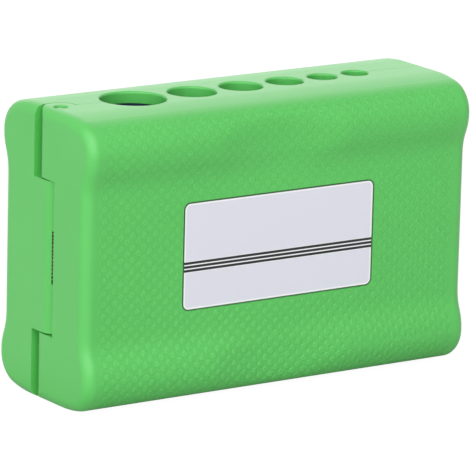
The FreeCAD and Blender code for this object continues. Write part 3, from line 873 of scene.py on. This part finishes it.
    def shade(self, mesh: Mesh, surface: BroadFace, moved: dict[int, Vector]) -> None:
        """Sets the normals: new ones on the moved points, and the old surface's elsewhere.

        Args:
            mesh: The divided mesh.
            surface: The surface before the change.
            moved: Number of a moved point to its normal.
        """
        normals = []
        for polygon in mesh.polygons:
            for corner in polygon.vertices:
                if corner in moved:
                    normals.append(moved[corner])
                else:
                    inside = mesh.vertices[corner].co.lerp(polygon.center, self.inset_share)
                    nearest, _, face, _ = surface.tree.find_nearest(inside)
                    normals.append(surface.normal(face, nearest))
        mesh.shade_smooth()
        mesh.normals_split_custom_set(normals)


class StudTree(Group):
    """Geometry nodes that stand a stud on the case at every site of the lattice."""

    search: float = 100 * MM

    def __init__(self, lattice: StudLattice) -> None:
        """Makes the whole tree.

        Args:
            lattice: Where the studs stand, and their shape.
        """
        self.lattice = lattice
        super().__init__("case_studs", TreeKind.GEOMETRY, {
            "Skin": Object, "Outward": 1.0, "Material": Material,
            "Pitch X": lattice.pitch_x, "Pitch Z": lattice.pitch_z,
            "Columns": 2 * math.ceil(lattice.reach_x / lattice.pitch_x) + 1,
            "Rows": 2 * math.ceil(lattice.start_z / lattice.pitch_z) + 1,
            "Foot": lattice.foot, "Top": lattice.top, "Relief": lattice.relief, "Sunk": lattice.sunk,
            "Dimple": lattice.dimple, "Bare Low X": 0.0, "Bare High X": 0.0, "Bare Low Z": 0.0,
            "Bare High Z": 0.0, "Deepest": 1.0,
        }, "Geometry")
        hit = self.kept(self.sites(), "VECTOR", self.cast(), "Hit Position", "Attribute")
        self.feed(self.result["Geometry"], self.place_studs(hit))

    def kept(self, mesh: NodeSocket, kind: str, source: Sockets, *names: str) -> Sockets:
        """Keeps a node's outputs on the points of a mesh.

        Args:
            mesh: The mesh.
            kind: Type of the values.
            source: The node's outputs.
            names: Names of the outputs that are kept.

        Returns:
            Geometry, and what is kept by name.
        """
        node = self.add("GeometryNodeCaptureAttribute", {"Geometry": mesh})
        for name in names:
            node.capture_items.new(kind, name)
            self.feed(node.inputs[name], source[name])
        return node.outputs

    def here(self) -> Sockets:
        """X, Y and Z of each point."""
        return self.axes(self.add("GeometryNodeInputPosition").outputs[0])

    def sites(self) -> NodeSocket:
        """The lattice sites as points in the parting plane.

        Returns:
            The points.
        """
        joined = self.add("GeometryNodeJoinGeometry")
        for fewer in (1.0, 2.0):
            columns = self.math("SUBTRACT", self.given["Columns"], fewer)
            rows = self.math("SUBTRACT", self.given["Rows"], fewer)
            grid = self.add("GeometryNodeMeshGrid", {
                "Size X": self.math("MULTIPLY", columns, self.given["Pitch X"]),
                "Size Y": self.math("MULTIPLY", rows, self.given["Pitch Z"]),
                "Vertices X": self.math("ADD", columns, 1.0),
                "Vertices Y": self.math("ADD", rows, 1.0)})
            self.feed(joined.inputs[0], grid.outputs["Mesh"])
        start = (self.lattice.start_x, 0.0, self.lattice.start_z)
        return self.add("GeometryNodeTransform", {
            "Geometry": joined.outputs[0], "Translation": start, "Rotation": UPRIGHT}).outputs[0]

    def cast(self) -> Sockets:
        """Casts every point onto the case, from well outside the broad face.

        Returns:
            Where each point hits, the normal there, and whether it hits.
        """
        here = self.here()
        outside = self.math("MULTIPLY", self.given["Outward"], self.search / 2)
        skin = self.add("GeometryNodeObjectInfo", {"Object": self.given["Skin"]})
        return self.add("GeometryNodeRaycast", {
            "Target Geometry": skin.outputs["Geometry"],
            "Attribute": self.add("GeometryNodeInputNormal").outputs["Normal"],
            "Source Position": self.point(here["X"], outside, here["Z"]),
            "Ray Direction": self.point(y=self.math("MULTIPLY", self.given["Outward"], -1.0)),
            "Ray Length": self.search}, data_type="FLOAT_VECTOR").outputs

    def is_wanted(self, axes: Sockets) -> NodeSocket:
        """One for a hit on the broad face and outside the label, and zero for any other.

        Args:
            axes: X, Y and Z of the hit.

        Returns:
            The mask.
        """
        on_face = self.math("GREATER_THAN", self.math("ABSOLUTE", axes["Y"]), self.lattice.face_depth)
        in_reach = self.math("LESS_THAN", self.math("ABSOLUTE", axes["X"]), self.lattice.reach_x)
        bare = 1.0
        for axis in "XZ":
            above = self.math("GREATER_THAN", axes[axis], self.given[f"Bare Low {axis}"])
            below = self.math("LESS_THAN", axes[axis], self.given[f"Bare High {axis}"])
            bare = self.math("MULTIPLY", self.math("MULTIPLY", above, below), bare)
        shown = self.math("MULTIPLY", on_face, in_reach)
        return self.math("MULTIPLY", shown, self.math("SUBTRACT", 1.0, bare))

    def place_studs(self, hit: Sockets) -> NodeSocket:
        """Stands a stud at every wanted hit.

        Args:
            hit: The points, with where they hit and the normal there.

        Returns:
            The studs as one mesh.
        """
        wanted = self.is_wanted(self.axes(hit["Hit Position"]))
        points = self.add("GeometryNodeSetPosition", {
            "Geometry": hit["Geometry"], "Position": hit["Hit Position"]})
        facing = self.add("FunctionNodeAlignRotationToVector", {"Vector": hit["Attribute"]}, axis="Z")
        stud = self.stud()
        studs = self.add("GeometryNodeInstanceOnPoints", {
            "Points": points.outputs[0], "Selection": wanted, "Instance": stud["Geometry"],
            "Rotation": facing.outputs[0]})
        whole = self.add("GeometryNodeRealizeInstances", {"Geometry": studs.outputs[0]})
        draped = self.drape(whole.outputs[0], stud["Z"])
        smooth = self.add("GeometryNodeSetShadeSmooth", {"Geometry": draped})
        return self.add("GeometryNodeSetMaterial", {
            "Geometry": smooth.outputs[0], "Material": self.given["Material"]}).outputs[0]

    def stud(self) -> Sockets:
        """One stud on the X-Y plane: a low frustum, sunk at its foot, with a dimple in its top.

        Returns:
            Geometry, and Z, the height of each of its points.
        """
        given = self.given
        cone = self.add("GeometryNodeMeshCone", {
            "Vertices": self.lattice.sides, "Radius Top": given["Top"], "Radius Bottom": given["Foot"],
            "Depth": self.math("ADD", given["Relief"], given["Sunk"])}, fill_type="NGON")
        pressed = self.add("GeometryNodeExtrudeMesh", {
            "Mesh": cone.outputs["Mesh"], "Selection": cone.outputs["Top"],
            "Offset Scale": self.math("MULTIPLY", given["Dimple"], -1.0)}, mode="FACES")
        dimple = self.add("GeometryNodeScaleElements", {
            "Geometry": pressed.outputs["Mesh"], "Selection": pressed.outputs["Top"],
            "Scale": self.lattice.dimple_share})
        seated = self.add("GeometryNodeTransform", {
            "Geometry": dimple.outputs[0],
            "Translation": self.point(z=self.math("MULTIPLY", given["Sunk"], -1.0))})
        return self.kept(seated.outputs[0], "FLOAT", self.here(), "Z")

    def drape(self, studs: NodeSocket, height: NodeSocket) -> NodeSocket:
        """Lets the studs follow the curves of the case, and keeps them within its depth.

        Args:
            studs: The studs, each in its place but flat.
            height: How high each of their points stands over the surface.

        Returns:
            The studs on the surface.
        """
        ray = self.cast()
        rise = self.add("ShaderNodeVectorMath", {0: ray["Attribute"], "Scale": height}, operation="SCALE")
        axes = self.axes(self.vector_math("ADD", ray["Hit Position"], rise.outputs[0]))
        depth = self.math("MINIMUM", self.math("ABSOLUTE", axes["Y"]), self.given["Deepest"])
        place = self.point(axes["X"], self.math("MULTIPLY", depth, self.given["Outward"]), axes["Z"])
        return self.add("GeometryNodeSetPosition", {"Geometry": studs, "Position": place}).outputs[0]


@dataclass
class Case:
    """The two moulded halves of the case, with the studs on their broad faces."""

    lattice: StudLattice
    label_margin: float = 0.3 * MM
    clearance: float = 0.01 * MM

    def build(self, material: Material) -> None:
        """Makes both halves.

        Args:
            material: The green plastic.
        """
        tree = StudTree(self.lattice).tree
        scoops = Scoops()
        for half in Half:
            shell = f"{half.value}_shell"
            skin = welded_copy(shell, f"{half.value}_case")
            scoops.soften(half, skin)
            finish_piece(skin, material, half.body, "green_plastic", shell)
            studs = realised(f"{half.value}_studs", tree, self.stud_values(half, skin, material))
            finish_piece(studs, material, half.body, "green_plastic")

    def stud_values(self, half: Half, skin: Object, material: Material) -> dict[str, object]:
        """Inputs of the stud tree for one half, with the label's place bare on the front.

        Args:
            half: Which half.
            skin: The half's case, on which the studs stand.
            material: The green plastic.

        Returns:
            Input name to value.
        """
        values = {"Skin": skin, "Outward": float(half.outward), "Material": material}
        values["Deepest"] = max(abs(cad_box[0][1]), abs(cad_box[1][1])) - self.clearance
        if half is Half.FRONT:
            low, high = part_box("label_plate")
            margin = self.label_margin + self.lattice.foot
            for axis, least, most in (("X", low.x, high.x), ("Z", low.z, high.z)):
                values[f"Bare Low {axis}"] = least - margin
                values[f"Bare High {axis}"] = most + margin
        return values


@dataclass
class Hinge:
    """The hinge pin, and the torsion spring round it."""

    wire: float = 0.85 * MM
    shown_wire: float = 0.55 * MM
    turns: float = 12.5
    steps_per_turn: int = 32
    ring_steps: int = 4

    def build(self, pin_steel: Material, spring_steel: Material) -> None:
        """Dresses the pin and makes the spring.

        Args:
            pin_steel: Material of the pin.
            spring_steel: Material of the spring.
        """
        dress("hinge_pin", pin_steel)
        low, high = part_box("hinge_spring")
        pin_low, pin_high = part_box("hinge_pin")
        axis = (pin_low + pin_high) / 2
        radius = (high.y - low.y - self.wire) / 2
        rise = high.z - low.z - self.wire
        start = Vector((axis.x, 0.0, low.z + self.wire / 2))
        mesh = self.wire_mesh(self.path(start, radius, rise, high.x))
        mesh.materials.clear()
        mesh.materials.append(spring_steel)
        piece = add_object("spring_wire", mesh)
        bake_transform(piece)
        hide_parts("hinge_spring")
        log.info("%s twists between the halves", piece.name)

    def path(self, start: Vector, radius: float, rise: float, leg_end: float) -> list[Vector]:
        """Middle line of the wire: a leg, the coil from the front of the pin to its back, and a leg.

        Args:
            start: Point on the pin's axis at the height of the lower leg.
            radius: Radius of the coil.
            rise: Height of the upper leg above the lower one.
            leg_end: X where the legs end.

        Returns:
            The points, from the end of the lower leg to the end of the upper one.
        """
        count = round(self.turns * self.steps_per_turn)
        coil = []
        for step in range(count + 1):
            share = step / count
            angle = -math.pi / 2 - share * self.turns * 2 * math.pi
            coil.append(start + Vector((radius * math.cos(angle), radius * math.sin(angle), rise * share)))
        first, last = (Vector((leg_end, end.y, end.z)) for end in (coil[0], coil[-1]))
        return [first, *coil, last]

    def wire_mesh(self, path: list[Vector]) -> Mesh:
        """A round wire along a path.

        Args:
            path: Middle line of the wire.

        Returns:
            The mesh.
        """
        curve = bpy.data.curves.new("hinge_spring_path", "CURVE")
        curve.dimensions = "3D"
        curve.bevel_depth = self.shown_wire / 2
        curve.bevel_resolution = self.ring_steps
        curve.use_fill_caps = True
        spline = curve.splines.new("POLY")
        spline.points.add(len(path) - 1)
        for point, place in zip(spline.points, path):
            point.co = (*place, 1.0)
        holder = bpy.data.objects.new("hinge_spring_curve", curve)
        mesh = bpy.data.meshes.new_from_object(holder)
        bpy.data.objects.remove(holder)
        mesh.shade_smooth()
        return mesh


@dataclass
class Cutters:
    """What each half holds: guide block, backing plate, blades and screws."""

    head_radius: float = 1.7 * MM
    head_height: float = 1.5 * MM
    head_bevel: float = 0.2 * MM
    socket_width: float = 1.5 * MM
    socket_depth: float = 0.9 * MM
    socket_taper: float = 0.98
    shank_radius: float = 1.0 * MM
    tip_bevel: float = 0.25 * MM
    segments: int = 24
    sharp_deg: float = 30.0

    def build(self, block: Material, plate: Material, blade: Material, screw: Material) -> None:
        """Dresses the pieces and makes the screws.

        Args:
            block: Material of the guide blocks.
            plate: Material of the backing plates.
            blade: Material of the blades.
            screw: Material of the screws.
        """
        tree = self.screw_tree()
        for half in Half:
            dress(f"{half.value}_guide_block", block)
            dress(f"{half.value}_backing_plate", plate)
            for port in PORTS:
                dress(f"{half.value}_blade_{port}", blade)
            node = f"{half.value}_block_screws"
            low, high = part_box(node)
            master = add_object(f"{half.value}_screw_master", self.screw_mesh(high.y - low.y))
            parting = low.y if half is Half.BACK else high.y
            screws = realised(f"{half.value}_screws", tree, {
                "Screw": master, "Material": screw,
                "Across": high.x - low.x - 2 * self.head_radius,
                "Up": high.z - low.z - 2 * self.head_radius,
                "Middle": Vector(((low.x + high.x) / 2, parting, (low.z + high.z) / 2)),
                "Turn": Vector(UPRIGHT) * half.outward})
            bpy.data.objects.remove(master)
            finish_piece(screws, screw, half.body, "screw_steel", node)

    def screw_mesh(self, length: float) -> Mesh:
        """A socket-head screw along Z, with the top of its head at the origin.

        Args:
            length: Whole length of the screw.

        Returns:
            The mesh.
        """
        socket = self.socket_width / 2
        rings = [
            (True, socket * self.socket_taper, -self.socket_depth),
            (True, socket, 0.0),
            (False, self.head_radius - self.head_bevel, 0.0),
            (False, self.head_radius, -self.head_bevel),
            (False, self.head_radius, -self.head_height),
            (False, self.shank_radius, -self.head_height),
            (False, self.shank_radius, -length + self.tip_bevel),
            (False, self.shank_radius - self.tip_bevel, -length),
        ]
        work = bmesh.new()
        loops = []
        for hexagonal, radius, height in rings:
            loop = []
            for step in range(self.segments):
                angle = 2 * math.pi * step / self.segments
                reach = radius / math.cos((angle % (math.pi / 3)) - math.pi / 6) if hexagonal else radius
                loop.append(work.verts.new((reach * math.cos(angle), reach * math.sin(angle), height)))
            loops.append(loop)
        for inner, outer in zip(loops, loops[1:]):
            for step in range(self.segments):
                following = (step + 1) % self.segments
                work.faces.new((inner[step], outer[step], outer[following], inner[following]))
        work.faces.new(loops[0])
        work.faces.new(reversed(loops[-1]))
        bmesh.ops.recalc_face_normals(work, faces=work.faces)
        mesh = mesh_of(work, "screw")
        mesh.shade_smooth()
        mesh.set_sharp_from_angle(angle=math.radians(self.sharp_deg))
        return mesh

    @staticmethod
    def screw_tree() -> NodeTree:
        """Geometry nodes that stand a screw at the four corners of a rectangle.

        Returns:
            The tree.
        """
        tree = Group("block_screws", TreeKind.GEOMETRY, {
            "Screw": Object, "Across": 0.0, "Up": 0.0, "Middle": ORIGIN, "Turn": ORIGIN, "Material": Material,
        }, "Geometry")
        given = tree.given
        grid = tree.add("GeometryNodeMeshGrid", {
            "Size X": given["Across"], "Size Y": given["Up"], "Vertices X": 2, "Vertices Y": 2})
        corners = tree.add("GeometryNodeTransform", {
            "Geometry": grid.outputs["Mesh"], "Translation": given["Middle"], "Rotation": UPRIGHT})
        master = tree.add("GeometryNodeObjectInfo", {"Object": given["Screw"]})
        turned = tree.add("FunctionNodeEulerToRotation", {0: given["Turn"]})
        screws = tree.add("GeometryNodeInstanceOnPoints", {
            "Points": corners.outputs[0], "Instance": master.outputs["Geometry"],
            "Rotation": turned.outputs[0]})
        whole = tree.add("GeometryNodeRealizeInstances", {"Geometry": screws.outputs[0]})
        dressed = tree.add("GeometryNodeSetMaterial", {
            "Geometry": whole.outputs[0], "Material": given["Material"]})
        tree.feed(tree.result["Geometry"], dressed.outputs[0])
        return tree.tree


@dataclass(frozen=True)
class Lamp:
    """A square soft box."""

    name: str
    azimuth_deg: float
    elevation_deg: float
    distance: float
    size: float
    power: float


@dataclass
class Studio:
    """Floor, world, lamps and camera. Azimuth is 0 in front of the object and grows towards +X."""

    azimuth_deg: float = -34.2303
    elevation_deg: float = 13.6391
    roll_deg: float = 1.4309
    distance: float = 1.106235
    lens_mm: float = 373.345
    sensor_mm: float = 36.0
    slide: tuple[float, float] = (-0.4307 * MM, -1.0976 * MM)
    floor_size: float = 6.0
    floor_tone: float = 0.62
    floor_glow: float = 1.1
    world_strength: float = 0.34
    shadow_share: float = 0.12
    contact_shadow_share: float = 0.1
    contact_shadow_reach: float = 25 * MM
    lamps: tuple[Lamp, ...] = (
        Lamp("key_lamp", -50.0, 22.0, 1.3, 2.8, 30.6),
        Lamp("high_lamp", -42.0, 36.0, 1.2, 1.6, 8.2),
        Lamp("back_lamp", 147.0, 26.0, 1.5, 1.3, 4.8),
    )

    def build(self) -> None:
        """Makes the whole studio."""
        self.add_world()
        self.add_floor()
        self.add_camera()
        for lamp in self.lamps:
            self.add_lamp(lamp)
        bpy.context.scene.view_settings.view_transform = "Standard"

    @property
    def middle(self) -> Vector:
        """Middle of the object, at which the camera and the lamps aim."""
        return Vector((0.0, 0.0, (cad_box[0][2] + cad_box[1][2]) / 2))

    @staticmethod
    def direction(azimuth_deg: float, elevation_deg: float) -> Vector:
        """Direction from the object to a place round it."""
        turn, tilt = math.radians(azimuth_deg), math.radians(elevation_deg)
        return Vector((math.sin(turn) * math.cos(tilt), -math.cos(turn) * math.cos(tilt), math.sin(tilt)))

    @staticmethod
    def seen_plainly(graph: Graph, gloss_share: object = 1.0) -> NodeSocket:
        """Share of the plain background that a ray sees.

        Args:
            graph: The graph of the floor or the world.
            gloss_share: Share for rays off gloss and through glass.

        Returns:
            One for rays from the camera, the given share off gloss and through glass, and zero for others.
        """
        ray = graph.add("ShaderNodeLightPath").outputs
        gloss = graph.math("MAXIMUM", ray["Is Glossy Ray"], ray["Is Transmission Ray"])
        return graph.math("MAXIMUM", ray["Is Camera Ray"], graph.math("MULTIPLY", gloss, gloss_share))

    def add_world(self) -> None:
        """A white world that lights the object softly and is seen as plain white."""
        world = bpy.data.worlds.new("studio_world")
        graph = Graph(bare_tree(world))
        strength = graph.ramp(self.seen_plainly(graph), 0.0, 1.0, self.world_strength, 1.0)
        light = graph.add("ShaderNodeBackground", {"Color": WHITE, "Strength": strength})
        graph.add("ShaderNodeOutputWorld", {"Surface": light.outputs[0]})
        bpy.context.scene.world = world

    def add_floor(self) -> None:
        """A white floor that keeps a faint shadow of the object."""
        work = bmesh.new()
        bmesh.ops.create_grid(work, x_segments=1, y_segments=1, size=self.floor_size / 2)
        floor = add_object("floor", mesh_of(work, "floor"))
        material = bpy.data.materials.new("floor_white")
        graph = Graph(bare_tree(material))
        tone = (self.floor_tone, self.floor_tone, self.floor_tone, 1.0)
        lit = graph.add("ShaderNodeBsdfDiffuse", {"Color": tone})
        white = graph.add("ShaderNodeEmission", {"Color": WHITE, "Strength": self.floor_glow})
        # Painted shadow: in gloss the floor is darker beside the case.
        seen = self.seen_plainly(graph, self.clear_of_case(graph))
        share = graph.math("MULTIPLY", seen, 1.0 - self.shadow_share)
        mixed = graph.add("ShaderNodeMixShader", {0: share, 1: lit.outputs[0], 2: white.outputs[0]})
        graph.add("ShaderNodeOutputMaterial", {"Surface": mixed.outputs[0]})
        floor.data.materials.append(material)

    def clear_of_case(self, graph: Graph) -> NodeSocket:
        """How white the floor looks in gloss: a painted shadow beside the case, and white further off.

        Args:
            graph: The floor's graph.

        Returns:
            The share of white.
        """
        axes = graph.axes(graph.add("ShaderNodeTexCoord").outputs["Object"])
        sides = []
        for number, axis in enumerate("XY"):
            beyond = graph.math("SUBTRACT", graph.math("ABSOLUTE", axes[axis]), cad_box[1][number])
            sides.append(graph.math("MAXIMUM", beyond, 0.0))
        return graph.ramp(graph.diagonal(*sides), 0.0, self.contact_shadow_reach, self.contact_shadow_share, 1.0)

    def add_camera(self) -> None:
        """The camera at the photograph's place."""
        back = self.direction(self.azimuth_deg, self.elevation_deg)
        turn, roll = math.radians(self.azimuth_deg), math.radians(self.roll_deg)
        level = Vector((math.cos(turn), math.sin(turn), 0.0))
        upright = back.cross(level)
        right = level * math.cos(roll) + upright * math.sin(roll)
        up = upright * math.cos(roll) - level * math.sin(roll)
        place = self.middle + back * self.distance + right * self.slide[0] + up * self.slide[1]
        data = bpy.data.cameras.new("camera")
        data.lens = self.lens_mm
        data.sensor_width = self.sensor_mm
        camera = add_object("camera", data)
        facing = Matrix((right, up, back)).transposed().to_4x4()
        camera.matrix_world = Matrix.Translation(place) @ facing
        bpy.context.scene.camera = camera

    def add_lamp(self, lamp: Lamp) -> None:
        """A soft box that faces the object.

        Args:
            lamp: Its place, size and power.
        """
        away = self.direction(lamp.azimuth_deg, lamp.elevation_deg)
        data = bpy.data.lights.new(lamp.name, "AREA")
        data.size = lamp.size
        data.energy = lamp.power
        light = add_object(lamp.name, data)
        facing = away.to_track_quat("Z", "Y").to_matrix().to_4x4()
        light.matrix_world = Matrix.Translation(self.middle + away * lamp.distance) @ facing


def main() -> None:
    """Builds the finishes and every sub-assembly, then the studio."""
    logging.basicConfig(level=logging.INFO, format="%(name)s: %(message)s")
    satin, studs, streaks = satin_group(), stud_group(), streak_group()
    lattice = StudLattice()
    green = MouldedPlastic(
        "green_plastic", colour=(0.095, 0.50, 0.10, 1.0), shade=(0.09, 0.48, 0.095, 1.0), roughness=0.39,
        fine_depth=0.012 * MM, lattice=lattice).build(satin, studs)
    dark = MouldedPlastic(
        "dark_plastic", colour=(0.01, 0.02, 0.055, 1.0), shade=(0.008, 0.016, 0.045, 1.0), roughness=0.42,
        fine_depth=0.01 * MM).build(satin, studs)
    steels = {
        name: WorkedSteel(name, *finish).build(streaks)
        for name, *finish in (
            ("plate_steel", (0.56, 0.57, 0.58, 1.0), (0.42, 0.43, 0.44, 1.0), 0.38, (0.05, 1.0, 1.0)),
            ("blade_steel", (0.68, 0.69, 0.70, 1.0), (0.5, 0.51, 0.52, 1.0), 0.25, (1.0, 0.08, 1.0)),
            ("screw_steel", (0.45, 0.46, 0.47, 1.0), (0.34, 0.35, 0.36, 1.0), 0.35, (1.0, 1.0, 1.0)),
            ("pin_steel", (0.6, 0.61, 0.62, 1.0), (0.46, 0.47, 0.48, 1.0), 0.3, (1.0, 1.0, 0.05)),
            # Painted highlight: the spring's pale, non-metallic colour stands in for light on its coils deep in
            # the hinge slot.
            ("spring_steel", (0.93, 0.94, 0.8, 1.0), (0.86, 0.87, 0.74, 1.0), 0.5, (1.0, 1.0, 1.0), 0.0),
        )
    }
    Case(lattice).build(green)
    dress("label_plate", LabelFilm().build(*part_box("label_plate")))
    Hinge().build(steels["pin_steel"], steels["spring_steel"])
    Cutters().build(dark, steels["plate_steel"], steels["blade_steel"], steels["screw_steel"])
    Studio().build()


if __name__ == "__main__":
    main()
